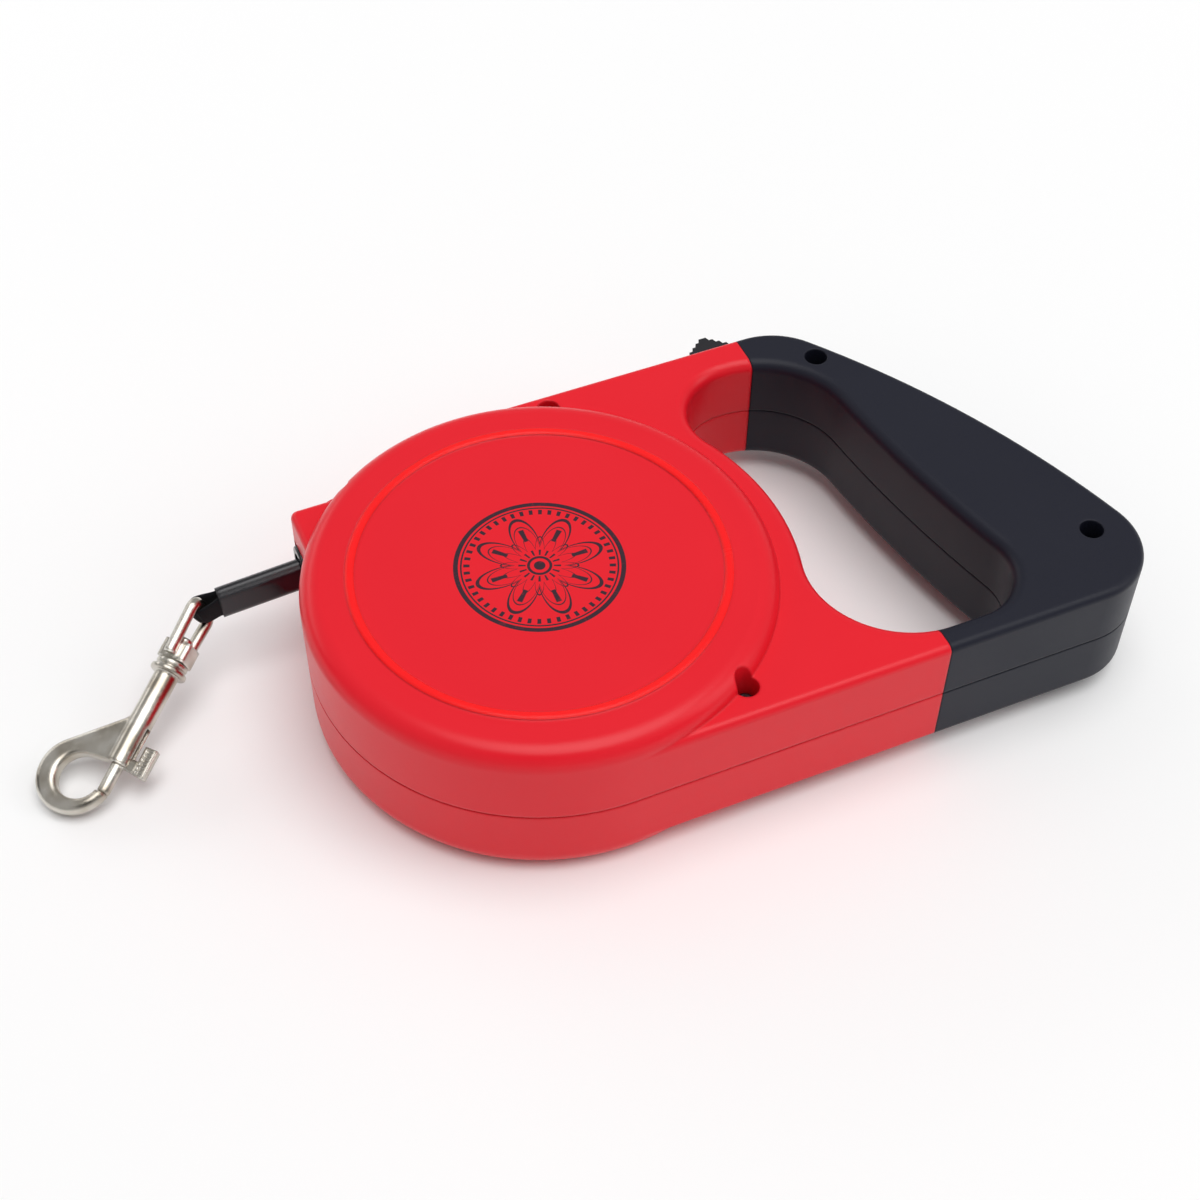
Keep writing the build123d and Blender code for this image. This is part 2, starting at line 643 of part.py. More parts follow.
with BuildPart() as brake_lever:
    with BuildSketch(level(LEVER_BOTTOM)):
        with Locations(LEVER_PIVOT):
            Circle(LEVER_BOSS)
        # arm under the button
        with BuildLine():
            Polyline((LEVER_PIVOT[0], arm_top - 4.6), (LEVER_PIVOT[0] + 14, arm_top - 3.6),
                     (BUTTON_CENTRE - BUTTON_HALF - 3, arm_top - LEVER_THICKNESS),
                     (BUTTON_CENTRE + BUTTON_HALF - 4, arm_top - LEVER_THICKNESS),
                     (BUTTON_CENTRE + BUTTON_HALF - 4, arm_top), (LEVER_PIVOT[0], arm_top), close=True)
        make_face()
        # leg that ends in the pawl
        with BuildLine():
            Polyline((pivot.X - 2.6, pivot.Y - 1), (pivot.X + 3.2, pivot.Y - 1),
                     (pawl_tip.X + 2.8, pawl_tip.Y + PAWL_LENGTH - 0.7), (pawl_tip.X + 0.5, pawl_tip.Y),
                     (pawl_tip.X - 0.5, pawl_tip.Y), (pawl_tip.X + 0.2, pawl_tip.Y + PAWL_LENGTH),
                     close=True)
        make_face()
    extrude(amount=LEVER_TOP - LEVER_BOTTOM)
    # rail that the button slides on
    with BuildSketch(level(PARTING - RAIL_WIDTH / 2)):
        with Locations((BUTTON_CENTRE + RAIL_SHIFT, arm_top + RAIL_HEIGHT / 2)):
            Rectangle(RAIL_LENGTH, RAIL_HEIGHT)
    extrude(amount=RAIL_WIDTH)
    with BuildSketch(level(LEVER_BOTTOM)):
        with Locations(LEVER_PIVOT):
            Circle(PIN_RADIUS + RUNNING_GAP)
    extrude(amount=LEVER_TOP - LEVER_BOTTOM, mode=Mode.SUBTRACT)
    # blind pocket for the head of the brake spring
    with BuildSketch(Plane.XZ.offset(-(SPRING_HEAD_Y - 0.1))):
        with Locations((SPRING_X, SPRING_Z)):
            Circle(SPRING_RADIUS + 0.5)
    extrude(amount=-0.6, mode=Mode.SUBTRACT)
brake_lever.part.label = "brake_lever"
export_step(brake_lever.part, "parts/brake_lever.step")

with BuildPart() as lever_pin:
    with BuildSketch(level(ARM_BOTTOM + WALL)):
        with Locations(LEVER_PIVOT):
            Circle(PIN_RADIUS)
    extrude(amount=LEVER_TOP + 1 - ARM_BOTTOM - WALL)
    chamfer(lever_pin.edges().group_by(Axis.Z)[-1], 0.3)
lever_pin.part.label = "lever_pin"
export_step(lever_pin.part, "parts/lever_pin.step")


def coil_spring(start, direction, length, mean_radius, wire_radius, turns):
    """Open coil spring from a start point along a direction."""
    pitch = length / turns
    with BuildPart() as coil:
        with BuildLine() as path:
            Helix(pitch, length, mean_radius, center=start, direction=direction)
        with BuildSketch(Plane(origin=path.line @ 0, z_dir=path.line % 0)):
            Circle(wire_radius)
        sweep()
    return coil.part


brake_coil = coil_spring((SPRING_X, SPRING_FOOT_Y + 0.5, SPRING_Z), (0, 1, 0),
                         SPRING_HEAD_Y - SPRING_FOOT_Y - 0.6, SPRING_RADIUS, 0.25, 6)
with BuildPart() as brake_spring:
    add(brake_coil)
brake_spring.part.label = "brake_spring"
export_step(brake_spring.part, "parts/brake_spring.step")


def button_outline():
    """Side of the thumb button: two toothed slopes that meet in a rounded peak."""
    base = arm_top + 0.1
    left = BUTTON_CENTRE - BUTTON_HALF
    right = BUTTON_CENTRE + BUTTON_HALF
    slope_foot = FAR_WALL + 0.6
    rise = BUTTON_PEAK - slope_foot
    points = [(left, base), (left, slope_foot)]
    for side in (-1, 1):
        steps = range(BUTTON_TEETH) if side < 0 else reversed(range(BUTTON_TEETH))
        for step in steps:
            share = step / BUTTON_TEETH
            mid = (step + 0.5) / BUTTON_TEETH
            low = (BUTTON_CENTRE + side * BUTTON_HALF * (1 - share), slope_foot + rise * share)
            crest = (BUTTON_CENTRE + side * (BUTTON_HALF * (1 - mid) + 0.25),
                     slope_foot + rise * mid + 0.55)
            if side < 0:
                points += [low, crest] if step else [crest]
            else:
                points += [crest, low] if step else [crest]
    points += [(right, slope_foot), (right, base)]
    return points


with BuildPart() as brake_button:
    with BuildSketch(level(PARTING - BUTTON_WIDTH / 2)):
        with BuildLine():
            Polyline(*button_outline(), close=True)
        make_face()
    extrude(amount=BUTTON_WIDTH)
    # groove that runs on the lever's rail
    add(box_between(
        (BUTTON_CENTRE + RAIL_SHIFT - RAIL_LENGTH / 2 - LOCK_TRAVEL - 0.2, arm_top - 1,
         PARTING - RAIL_WIDTH / 2 - RUNNING_GAP),
        (BUTTON_CENTRE + RAIL_SHIFT + RAIL_LENGTH / 2 + 0.2, arm_top + RAIL_HEIGHT + 0.1,
         PARTING + RAIL_WIDTH / 2 + RUNNING_GAP)), mode=Mode.SUBTRACT)
brake_button.part.label = "brake_button"
export_step(brake_button.part, "parts/brake_button.step")

# ---------------------------------------------------------------- tape
with BuildPart() as tape_coil:
    # the free tape leaves the wound one on its outermost turn
    with BuildSketch(level(PARTING - TAPE_WIDTH / 2)):
        Circle(TAPE_Y)
        Circle(HUB_RADIUS + 0.1, mode=Mode.SUBTRACT)
    extrude(amount=TAPE_WIDTH)
tape_coil.part.label = "tape_coil"
export_step(tape_coil.part, "parts/tape_coil.step")

with BuildPart() as tape_run:
    add(box_between((SLEEVE_START - 1.2, TAPE_Y - TAPE_THICKNESS / 2, PARTING - TAPE_WIDTH / 2),
                    (RUN_START, TAPE_Y + TAPE_THICKNESS / 2, PARTING + TAPE_WIDTH / 2)))
tape_run.part.label = "tape_run"
export_step(tape_run.part, "parts/tape_run.step")

# the leash end hangs a little: x of this plane runs along the sleeve, y is level, z is its height
droop = radians(LEASH_DROOP)
leash_plane = Plane(origin=(SLEEVE_START, TAPE_Y, PARTING), x_dir=(-cos(droop), 0, -sin(droop)),
                    z_dir=(-sin(droop), 0, cos(droop)))
sleeve_section = Plane(origin=leash_plane.origin, x_dir=leash_plane.y_dir, z_dir=leash_plane.x_dir)

with BuildPart() as tape_sleeve:
    with BuildSketch(sleeve_section):
        RectangleRounded(SLEEVE_THICKNESS, SLEEVE_WIDTH, SLEEVE_THICKNESS / 2 - 0.2)
        RectangleRounded(SLEEVE_THICKNESS - 2 * SLEEVE_WALL, SLEEVE_WIDTH - 2 * SLEEVE_WALL, 0.6,
                         mode=Mode.SUBTRACT)
    extrude(amount=SLEEVE_LENGTH)
tape_sleeve.part.label = "tape_sleeve"
export_step(tape_sleeve.part, "parts/tape_sleeve.step")

# ---------------------------------------------------------------- snap hook
# snap_plane: x runs from the eye to the hook, the hook lies in the plane towards -y
heading = radians(SNAP_HEADING)
tilt = radians(SNAP_TILT)
twist = radians(EYE_TWIST)
snap_axis = Vector(cos(heading) * cos(tilt), sin(heading) * cos(tilt), -sin(tilt))
snap_up = Vector(cos(heading) * sin(tilt), sin(heading) * sin(tilt), cos(tilt))
eye_centre = leash_plane.from_local_coords((SLEEVE_LENGTH + EYE_REACH, 0, 0))
snap_plane = Plane(origin=eye_centre, x_dir=snap_axis, z_dir=snap_up)
eye_bar = snap_plane.y_dir * -cos(twist) + snap_up * sin(twist)
eye_plane = Plane(origin=eye_centre, x_dir=snap_axis, z_dir=snap_axis.cross(eye_bar))


def across_snap(distance):
    """Plane square to the snap's long axis, at a distance from the eye bar."""
    return Plane(origin=eye_centre + snap_axis * distance, x_dir=snap_plane.y_dir, z_dir=snap_axis)


def across_eye(distance):
    """The same plane, turned so that its x runs along the eye bar."""
    return Plane(origin=eye_centre + snap_axis * distance, x_dir=eye_bar, z_dir=snap_axis)


def round_bar(start, end, radius):
    """Round bar along the snap's axis."""
    with BuildPart() as bar:
        with BuildSketch(across_snap(start)):
            Circle(radius)
        extrude(amount=end - start)
    return bar.part


def tangent_point(start, centre, radius):
    """Where the line from a start point touches a circle on its left side."""
    reach = Vector(*start) - Vector(*centre)
    turn = degrees(acos(radius / reach.length))
    touch = Vector(*centre) + reach.normalized().rotate(Axis.Z, turn) * radius
    return (touch.X, touch.Y)


# loop of tape round the eye bar
loop_plane = Plane(origin=eye_centre, x_dir=Vector(1, 0, 0) - eye_bar * eye_bar.X, z_dir=eye_bar)
with BuildPart() as tape_loop:
    with BuildSketch(loop_plane.offset(-LOOP_WIDTH / 2)):
        with Locations((LOOP_STRETCH / 2, 0)):
            SlotCenterToCenter(LOOP_STRETCH, 2 * (EYE_WIRE + LOOP_GAP + TAPE_THICKNESS))
            SlotCenterToCenter(LOOP_STRETCH, 2 * (EYE_WIRE + LOOP_GAP), mode=Mode.SUBTRACT)
    extrude(amount=LOOP_WIDTH)
tape_loop.part.label = "tape_loop"
export_step(tape_loop.part, "parts/tape_loop.step")

with BuildPart() as swivel_eye:
    # closed wire stirrup, then the hub block that its legs run into
    with BuildLine(eye_plane) as stirrup:
        FilletPolyline((LEG_END, -HUB_LEGS), (0, -EYE_HALF), (0, EYE_HALF), (LEG_END, HUB_LEGS),
                       radius=EYE_CORNER)
    with BuildSketch(Plane(origin=stirrup.line @ 0, z_dir=stirrup.line % 0)):
        Circle(EYE_WIRE)
    sweep()
    with BuildSketch(across_eye(HUB_START)):
        RectangleRounded(HUB_WIDTH, HUB_DEPTH, 0.7)
    extrude(amount=HUB_END - HUB_START)
    add(round_bar(HUB_START - 1, HUB_END + 1, RIVET_RADIUS + RUNNING_GAP), mode=Mode.SUBTRACT)
swivel_eye.part.label = "swivel_eye"
export_step(swivel_eye.part, "parts/swivel_eye.step")

with BuildPart() as swivel_rivet:
    add(round_bar(HUB_START - 1.5, HUB_START - 0.1, RIVET_HEAD))
    fillet(swivel_rivet.edges().filter_by(GeomType.CIRCLE), 0.6)
    add(round_bar(HUB_START - 0.8, PLUG_END, RIVET_RADIUS))
swivel_rivet.part.label = "swivel_rivet"
export_step(swivel_rivet.part, "parts/swivel_rivet.step")

def hook_rims(part, of_eye):
    """Edges of the hook's flat faces: those of its round eye or those of its outside.

    Left out is the stretch near the snap's axis, which is buried in the barrel or bounds the mouth.
    """
    chosen = []
    faces = part.edges().group_by(Axis(eye_centre, snap_up))
    for edge in faces[0] + faces[-1]:
        place = snap_plane.to_local_coords(edge.center())
        reach = sqrt((place.X - HOOK_INNER_CENTRE[0]) ** 2 + (place.Y - HOOK_INNER_CENTRE[1]) ** 2)
        if place.Y < WEB_BEND[1] + 0.1 and (reach < HOOK_INNER + 1) == of_eye:
            chosen.append(edge)
    return chosen


web_touch = tangent_point(WEB_BEND, HOOK_OUTER_CENTRE, HOOK_OUTER)
mouth_touch = tangent_point((BARREL_END, MOUTH_LOW), HOOK_INNER_CENTRE, HOOK_INNER)
with BuildPart() as snap_body:
    # hook: a round eye inside a rounder outline, drawn out to the barrel by a tangent web
    with BuildSketch(snap_plane.offset(-HOOK_THICKNESS / 2)) as hook_outline:
        with Locations(HOOK_OUTER_CENTRE):
            Circle(HOOK_OUTER)
        with BuildLine():
            Polyline((WEB_ROOT, 0), (WEB_ROOT, WEB_BEND[1]), WEB_BEND, web_touch, HOOK_OUTER_CENTRE,
                     (BARREL_END, 0), close=True)
        make_face()
        bend = hook_outline.vertices().sort_by_distance(Vector(*WEB_BEND))[0]
        fillet(bend, WEB_ROUND)
        with Locations(HOOK_INNER_CENTRE):
            Circle(HOOK_INNER, mode=Mode.SUBTRACT)
        with BuildLine():
            Polyline((BARREL_END, MOUTH_LOW), mouth_touch, HOOK_INNER_CENTRE, (HOOK_TIP, MOUTH_LOW),
                     close=True)
        make_face(mode=Mode.SUBTRACT)
        # mouth of the hook, which the bolt closes
        with BuildLine():
            Polyline((BARREL_END, MOUTH_LOW), (HOOK_TIP, MOUTH_LOW), (HOOK_TIP, BARREL_RADIUS),
                     (BARREL_END, BARREL_RADIUS), close=True)
        make_face(mode=Mode.SUBTRACT)
    extrude(amount=HOOK_THICKNESS)
    fillet(hook_rims(snap_body, of_eye=False), HOOK_ROUND)
    fillet(hook_rims(snap_body, of_eye=True), HOOK_EYE_ROUND)
    # barrel with two collar rings, bored for the bolt and slotted for its thumb tab
    add(round_bar(COLLAR_START, BARREL_END, BARREL_RADIUS))
    add(round_bar(COLLAR_START, COLLAR_START + 1.1, COLLAR_RADIUS - 0.5))
    add(round_bar(COLLAR_START + 1.6, COLLAR_START + 2.8, COLLAR_RADIUS))
    rings = snap_body.edges().filter_by(GeomType.CIRCLE)
    fillet(rings.filter_by(lambda edge: edge.radius > COLLAR_RADIUS - 0.51), 0.4)
    add(round_bar(COLLAR_START - 1, PLUG_END, RIVET_RADIUS), mode=Mode.SUBTRACT)
    add(round_bar(PLUG_END, BARREL_END + 0.5, BOLT_RADIUS + RUNNING_GAP), mode=Mode.SUBTRACT)
    with BuildSketch(snap_plane.offset(-SLOT_WIDTH / 2)):
        with Locations(((SLOT_START + BARREL_END + 1) / 2, BARREL_RADIUS)):
            Rectangle(BARREL_END + 1 - SLOT_START, 2 * BARREL_RADIUS)
    extrude(amount=SLOT_WIDTH, mode=Mode.SUBTRACT)
snap_body.part.label = "snap_body"
export_step(snap_body.part, "parts/snap_body.step")

with BuildPart() as snap_bolt:
    add(round_bar(BOLT_BACK, HOOK_TIP - 0.1, BOLT_RADIUS))
    chamfer(snap_bolt.edges().filter_by(GeomType.CIRCLE), 0.3)
    # L-shaped thumb tab: a stem through the slot, then a ribbed plate along the barrel
    with BuildSketch(snap_plane.offset(-TAB_THICKNESS / 2)):
        with BuildLine():
            Polyline((TAB_STEM, 0), (TAB_STEM, TAB_INNER), (TAB_BACK, TAB_INNER), (TAB_BACK, TAB_OUTER),
                     (TAB_FRONT, TAB_OUTER), (TAB_FRONT, TAB_OUTER - 1.2), (TAB_STEM + 2.2, 0), close=True)
        make_face()
    extrude(amount=TAB_THICKNESS)
    # grip grooves across both flat sides of the plate
    for side in (-1, 1):
        with BuildSketch(snap_plane.offset(side * TAB_THICKNESS / 2)):
            with Locations(((TAB_BACK + TAB_FRONT) / 2, (TAB_INNER + TAB_OUTER) / 2)):
                with GridLocations(TAB_GROOVE * 2, 0, TAB_GROOVES, 1):
                    Rectangle(TAB_GROOVE, TAB_OUTER - TAB_INNER - 0.9)
        extrude(amount=-side * 0.3, mode=Mode.SUBTRACT)
snap_bolt.part.label = "snap_bolt"
export_step(snap_bolt.part, "parts/snap_bolt.step")

bolt_coil = coil_spring(eye_centre + snap_axis * (PLUG_END + 0.4), snap_axis, BOLT_BACK - PLUG_END - 0.8,
                        0.95, 0.22, 10)
with BuildPart() as snap_spring:
    add(bolt_coil)
snap_spring.part.label = "snap_spring"
export_step(snap_spring.part, "parts/snap_spring.step")
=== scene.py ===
"""Retractable leash: procedural finishes for the CAD pieces, woven tape, springs and the studio.

All lengths are metres in the CAD frame: the leash lies on z = 0, the reel axis is the z axis, the grip is
towards +X and the tape leaves towards -X.
"""
import json
import math

import bpy
from mathutils import Matrix, Vector


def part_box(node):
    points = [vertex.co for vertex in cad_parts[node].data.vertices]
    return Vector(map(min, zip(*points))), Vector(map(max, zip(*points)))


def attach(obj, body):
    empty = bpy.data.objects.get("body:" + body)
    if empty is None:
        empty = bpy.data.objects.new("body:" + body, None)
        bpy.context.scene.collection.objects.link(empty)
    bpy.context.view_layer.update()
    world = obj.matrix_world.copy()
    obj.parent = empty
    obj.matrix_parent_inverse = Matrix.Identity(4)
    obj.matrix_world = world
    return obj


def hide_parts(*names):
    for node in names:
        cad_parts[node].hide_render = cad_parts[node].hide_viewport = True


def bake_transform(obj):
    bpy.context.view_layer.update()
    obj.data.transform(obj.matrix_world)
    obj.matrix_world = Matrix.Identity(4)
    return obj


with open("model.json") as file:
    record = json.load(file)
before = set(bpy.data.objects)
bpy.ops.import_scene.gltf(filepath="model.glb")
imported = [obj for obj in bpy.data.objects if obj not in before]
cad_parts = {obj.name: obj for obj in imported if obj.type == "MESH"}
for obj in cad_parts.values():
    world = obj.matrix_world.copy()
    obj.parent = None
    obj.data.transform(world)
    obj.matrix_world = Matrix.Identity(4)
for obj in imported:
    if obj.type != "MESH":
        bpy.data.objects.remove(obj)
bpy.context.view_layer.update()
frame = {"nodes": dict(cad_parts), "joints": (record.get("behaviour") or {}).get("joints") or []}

MM = 0.001
JOINTS = {joint["name"]: joint for joint in frame["joints"]}


# ---------------------------------------------------------------- node helpers
class Shader:
    """A small builder for node materials: every call adds one node and returns its output."""

    def __init__(self, name):
        self.material = bpy.data.materials.new(name)
        self.material.use_nodes = True
        self.tree = self.material.node_tree
        self.tree.nodes.clear()
        self.output = self.tree.nodes.new("ShaderNodeOutputMaterial")
        self.surface = self.tree.nodes.new("ShaderNodeBsdfPrincipled")
        self.tree.links.new(self.surface.outputs[0], self.output.inputs["Surface"])

    def put(self, socket, value):
        """Links a socket to another node's output, or sets its value."""
        if isinstance(value, bpy.types.NodeSocket):
            self.tree.links.new(value, socket)
        else:
            socket.default_value = value

    def set(self, name, value):
        self.put(self.surface.inputs[name], value)

    def math(self, operation, a, b=0.0, c=0.0):
        node = self.tree.nodes.new("ShaderNodeMath")
        node.operation = operation
        for socket, value in zip(node.inputs, (a, b, c)):
            self.put(socket, value)
        return node.outputs[0]

    def coordinates(self, kind="Object"):
        return self.tree.nodes.new("ShaderNodeTexCoord").outputs[kind]

    def split(self, vector):
        node = self.tree.nodes.new("ShaderNodeSeparateXYZ")
        self.put(node.inputs[0], vector)
        return node.outputs

    def scale(self, vector, factors):
        node = self.tree.nodes.new("ShaderNodeMapping")
        self.put(node.inputs["Vector"], vector)
        node.inputs["Scale"].default_value = factors
        return node.outputs[0]

    def noise(self, size, detail=2.0, rough=0.5, vector=None):
        """Noise whose blobs are about size metres wide."""
        node = self.tree.nodes.new("ShaderNodeTexNoise")
        self.put(node.inputs["Vector"], self.coordinates() if vector is None else vector)
        node.inputs["Scale"].default_value = 1.0 / size
        node.inputs["Detail"].default_value = detail
        node.inputs["Roughness"].default_value = rough
        return node.outputs["Fac"]

    def remap(self, value, low, high, to_low, to_high):
        node = self.tree.nodes.new("ShaderNodeMapRange")
        self.put(node.inputs[0], value)
        for socket, number in zip(node.inputs[1:5], (low, high, to_low, to_high)):
            socket.default_value = number
        return node.outputs[0]

    def mix(self, factor, a, b):
        node = self.tree.nodes.new("ShaderNodeMix")
        node.data_type = "RGBA"
        self.put(node.inputs[0], factor)
        for socket, value in zip((node.inputs[6], node.inputs[7]), (a, b)):
            if not isinstance(value, bpy.types.NodeSocket):
                value = (*value[:3], 1.0)
            self.put(socket, value)
        return node.outputs[2]

    def bump(self, height, strength, distance, normal=None):
        node = self.tree.nodes.new("ShaderNodeBump")
        node.inputs["Strength"].default_value = strength
        node.inputs["Distance"].default_value = distance
        self.put(node.inputs["Height"], height)
        if normal is not None:
            self.put(node.inputs["Normal"], normal)
        return node.outputs[0]

    def soft_edges(self, radius):
        """Normals that round every edge and inner corner by a radius, as a moulding has them."""
        node = self.tree.nodes.new("ShaderNodeBevel")
        node.samples = 6
        node.inputs["Radius"].default_value = radius
        return node.outputs[0]

    def edge_wear(self, radius, low, high):
        """1 where the surface turns over an edge within a radius, 0 on the flats."""
        bevel = self.tree.nodes.new("ShaderNodeBevel")
        bevel.samples = 6
        bevel.inputs["Radius"].default_value = radius
        geometry = self.tree.nodes.new("ShaderNodeNewGeometry")
        dot = self.tree.nodes.new("ShaderNodeVectorMath")
        dot.operation = "DOT_PRODUCT"
        self.put(dot.inputs[0], bevel.outputs[0])
        self.put(dot.inputs[1], geometry.outputs["Normal"])
        return self.remap(dot.outputs["Value"], low, high, 1.0, 0.0)


# ---------------------------------------------------------------- materials
def moulded_plastic(name, colour, roughness, grain_size, grain, edge_radius, shine=0.5, marks=None):
    """Moulded plastic: slow colour drift, fine surface grain, faint handling scratches, softened edges."""
    s = Shader(name)
    drift = s.noise(0.045, 2.0)
    deep = [channel * 0.96 for channel in colour]
    pale = [min(1.0, channel * 1.03 + 0.0006) for channel in colour]
    base = s.mix(drift, deep, pale)
    wear = s.math("MULTIPLY", s.edge_wear(edge_radius * 0.8, 0.90, 1.0), s.noise(0.006, 4.0, 0.7))
    worn = [min(1.0, channel * 1.12 + 0.010) for channel in colour]
    base = s.mix(s.math("MULTIPLY", wear, 0.35), base, worn)
    streaks = s.noise(0.003, 2.0, 0.5, s.scale(s.coordinates(), (0.3, 1.6, 1.6)))
    smudge = s.noise(0.022, 3.0, 0.5)
    rough = s.math("ADD", s.remap(smudge, 0.3, 0.7, roughness * 0.94, roughness * 1.08),
                   s.remap(streaks, 0.35, 0.75, -0.006, 0.010))
    if marks is not None:
        base, rough = marks(s, base, rough)
    s.set("Base Color", base)
    s.set("Roughness", rough)
    s.set("IOR", 1.5)
    s.set("Specular IOR Level", shine)
    edges = s.soft_edges(edge_radius)
    waves = s.bump(s.noise(0.012, 1.0), 0.03, 0.0006, edges)
    grains = s.bump(s.noise(grain_size, 3.0, 0.65), grain, 0.0002, waves)
    s.set("Normal", grains)
    return s.material


def nickel():
    """Nickel-plated zinc casting: bright and wavy, tarnished in patches, rubbed bright on its edges."""
    s = Shader("nickel_plate")
    patches = s.remap(s.noise(0.0075, 2.0, 0.5), 0.36, 0.62, 0.0, 1.0)
    base = s.mix(patches, (0.40, 0.355, 0.29), (0.66, 0.63, 0.57))
    wear = s.edge_wear(0.0006, 0.85, 1.0)
    base = s.mix(s.math("MULTIPLY", wear, 0.5), base, (0.92, 0.90, 0.86))
    s.set("Base Color", base)
    s.set("Metallic", 1.0)
    pits = s.noise(0.0007, 4.0, 0.7)
    s.set("Roughness", s.remap(pits, 0.35, 0.7, 0.08, 0.24))
    ripple = s.bump(s.noise(0.0060, 1.0), 0.35, 0.00035, s.soft_edges(0.0012))
    s.set("Normal", s.bump(pits, 0.07, 0.00006, ripple))
    return s.material


def steel(name, colour, roughness, line_axis):
    """Turned or drawn steel: fine lines across one axis and small dark spots."""
    s = Shader(name)
    stretch = [0.06 if axis == line_axis else 1.6 for axis in range(3)]
    lines = s.noise(0.0006, 3.0, 0.6, s.scale(s.coordinates(), stretch))
    spots = s.noise(0.003, 4.0, 0.7)
    dark = [channel * 0.7 for channel in colour]
    s.set("Base Color", s.mix(spots, dark, colour))
    s.set("Metallic", 1.0)
    s.set("Roughness", s.remap(lines, 0.3, 0.7, roughness * 0.75, roughness * 1.35))
    s.set("Normal", s.bump(lines, 0.2, 0.00006, s.soft_edges(0.00015)))
    return s.material


THREAD_PITCH = 0.42 * MM


def weave(s, along, across, pitch):
    """Plain weave: height and thread shade from two coordinates in metres."""
    turn = math.pi / pitch
    warp = s.math("SINE", s.math("MULTIPLY", along, turn))
    weft = s.math("SINE", s.math("MULTIPLY", across, turn))
    over = s.math("MULTIPLY", warp, weft)
    ribs = s.math("ABSOLUTE", weft)
    height = s.math("ADD", s.math("MULTIPLY", s.math("ABSOLUTE", over), 0.6), s.math("MULTIPLY", ribs, 0.4))
    return height, over


def webbing(name, follow_uv):
    """Black nylon tape. Straight tape takes its weave from its place, wound or folded tape from its UVs."""
    s = Shader(name)
    if follow_uv:
        along, across, _ = s.split(s.coordinates("UV"))
    else:
        along, _, across = s.split(s.coordinates("Object"))
    height, over = weave(s, along, across, THREAD_PITCH)
    threads = s.remap(over, -1.0, 1.0, 0.0, 1.0)
    base = s.mix(threads, (0.002, 0.002, 0.003), (0.007, 0.007, 0.010))
    fuzz = s.noise(0.0004, 4.0, 0.7)
    base = s.mix(s.math("MULTIPLY", fuzz, 0.35), base, (0.012, 0.012, 0.015))
    s.set("Base Color", base)
    s.set("Roughness", s.remap(fuzz, 0.3, 0.7, 0.62, 0.85))
    s.set("Sheen Weight", 0.05)
    s.set("Specular IOR Level", 0.15)
    s.set("Sheen Roughness", 0.4)
    threads_bump = s.bump(height, 0.7, 0.00016)
    s.set("Normal", s.bump(fuzz, 0.25, 0.00005, threads_bump))
    return s.material


def rosette_ink(s):
    """Generic printed rosette on the front face: rings, petals, spokes and dots in polar form."""
    x, y, z = s.split(s.coordinates())
    square = s.math("ADD", s.math("MULTIPLY", x, x), s.math("MULTIPLY", y, y))
    radius = s.math("DIVIDE", s.math("SQRT", square), MM)
    angle = s.math("ARCTAN2", y, x)

    def band(value, centre, half):
        """1 within half of the centre, with a thin soft edge like absorbed ink."""
        gap = s.math("ABSOLUTE", s.math("SUBTRACT", value, centre))
        return s.remap(gap, half - 0.04, half + 0.04, 1.0, 0.0)

    def petals(count, inner, reach, half):
        wave = s.math("ABSOLUTE", s.math("COSINE", s.math("MULTIPLY", angle, count / 2)))
        edge = s.math("ADD", s.math("MULTIPLY", wave, reach), inner)
        return band(s.math("SUBTRACT", radius, edge), 0.0, half)

    def spokes(count, low, high, share):
        wave = s.math("COSINE", s.math("MULTIPLY", angle, count))
        comb = s.remap(wave, 1 - share - 0.03, 1 - share + 0.03, 0.0, 1.0)
        return s.math("MULTIPLY", comb, band(radius, (low + high) / 2, (high - low) / 2))

    # radii, reaches and half widths in millimetres, from the rim to the centre
    marks = [
        band(radius, 17.3, 0.50),
        band(radius, 16.2, 0.18),
        spokes(48, 14.4, 15.7, 0.70),
        petals(8, 6.0, 7.6, 0.42),
        petals(8, 5.2, 6.2, 0.16),
        petals(16, 4.6, 3.4, 0.20),
        spokes(8, 7.2, 10.6, 0.10),
        spokes(16, 2.9, 4.4, 0.40),
        band(radius, 2.3, 0.30),
        band(radius, 0.0, 1.2),
    ]
    total = marks[0]
    for mark in marks[1:]:
        total = s.math("MAXIMUM", total, mark)
    # the ink fades out just under the face, so that it stays off the walls
    ink_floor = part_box("case_front")[1].z - 1.2 * MM
    on_face = s.remap(z, ink_floor - 0.2 * MM, ink_floor, 0.0, 1.0)
    patchy = s.remap(s.noise(0.0012, 4.0, 0.7), 0.25, 0.42, 0.80, 0.97)
    return s.math("MULTIPLY", s.math("MULTIPLY", total, on_face), patchy)


def front_marks(s, base, rough):
    """The front face's bead, its top given a painted highlight (a brighter, clearer red than the face), and
    its printed rosette.
    """
    height = s.split(s.coordinates())[2]
    bead_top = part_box("case_front")[1].z
    # painted highlight: the bead's top is painted a brighter red than the rest of the same red moulding, for
    # the light it catches
    bead_highlight = s.remap(height, bead_top - 0.4 * MM, bead_top - 0.2 * MM, 0.0, 1.0)
    base = s.mix(bead_highlight, base, (0.96, 0.008, 0.010))
    rough = s.math("SUBTRACT", rough, s.math("MULTIPLY", bead_highlight, 0.05))
    ink = rosette_ink(s)
    base = s.mix(ink, base, (0.012, 0.014, 0.024))
    return base, s.math("ADD", rough, s.math("MULTIPLY", ink, 0.12))


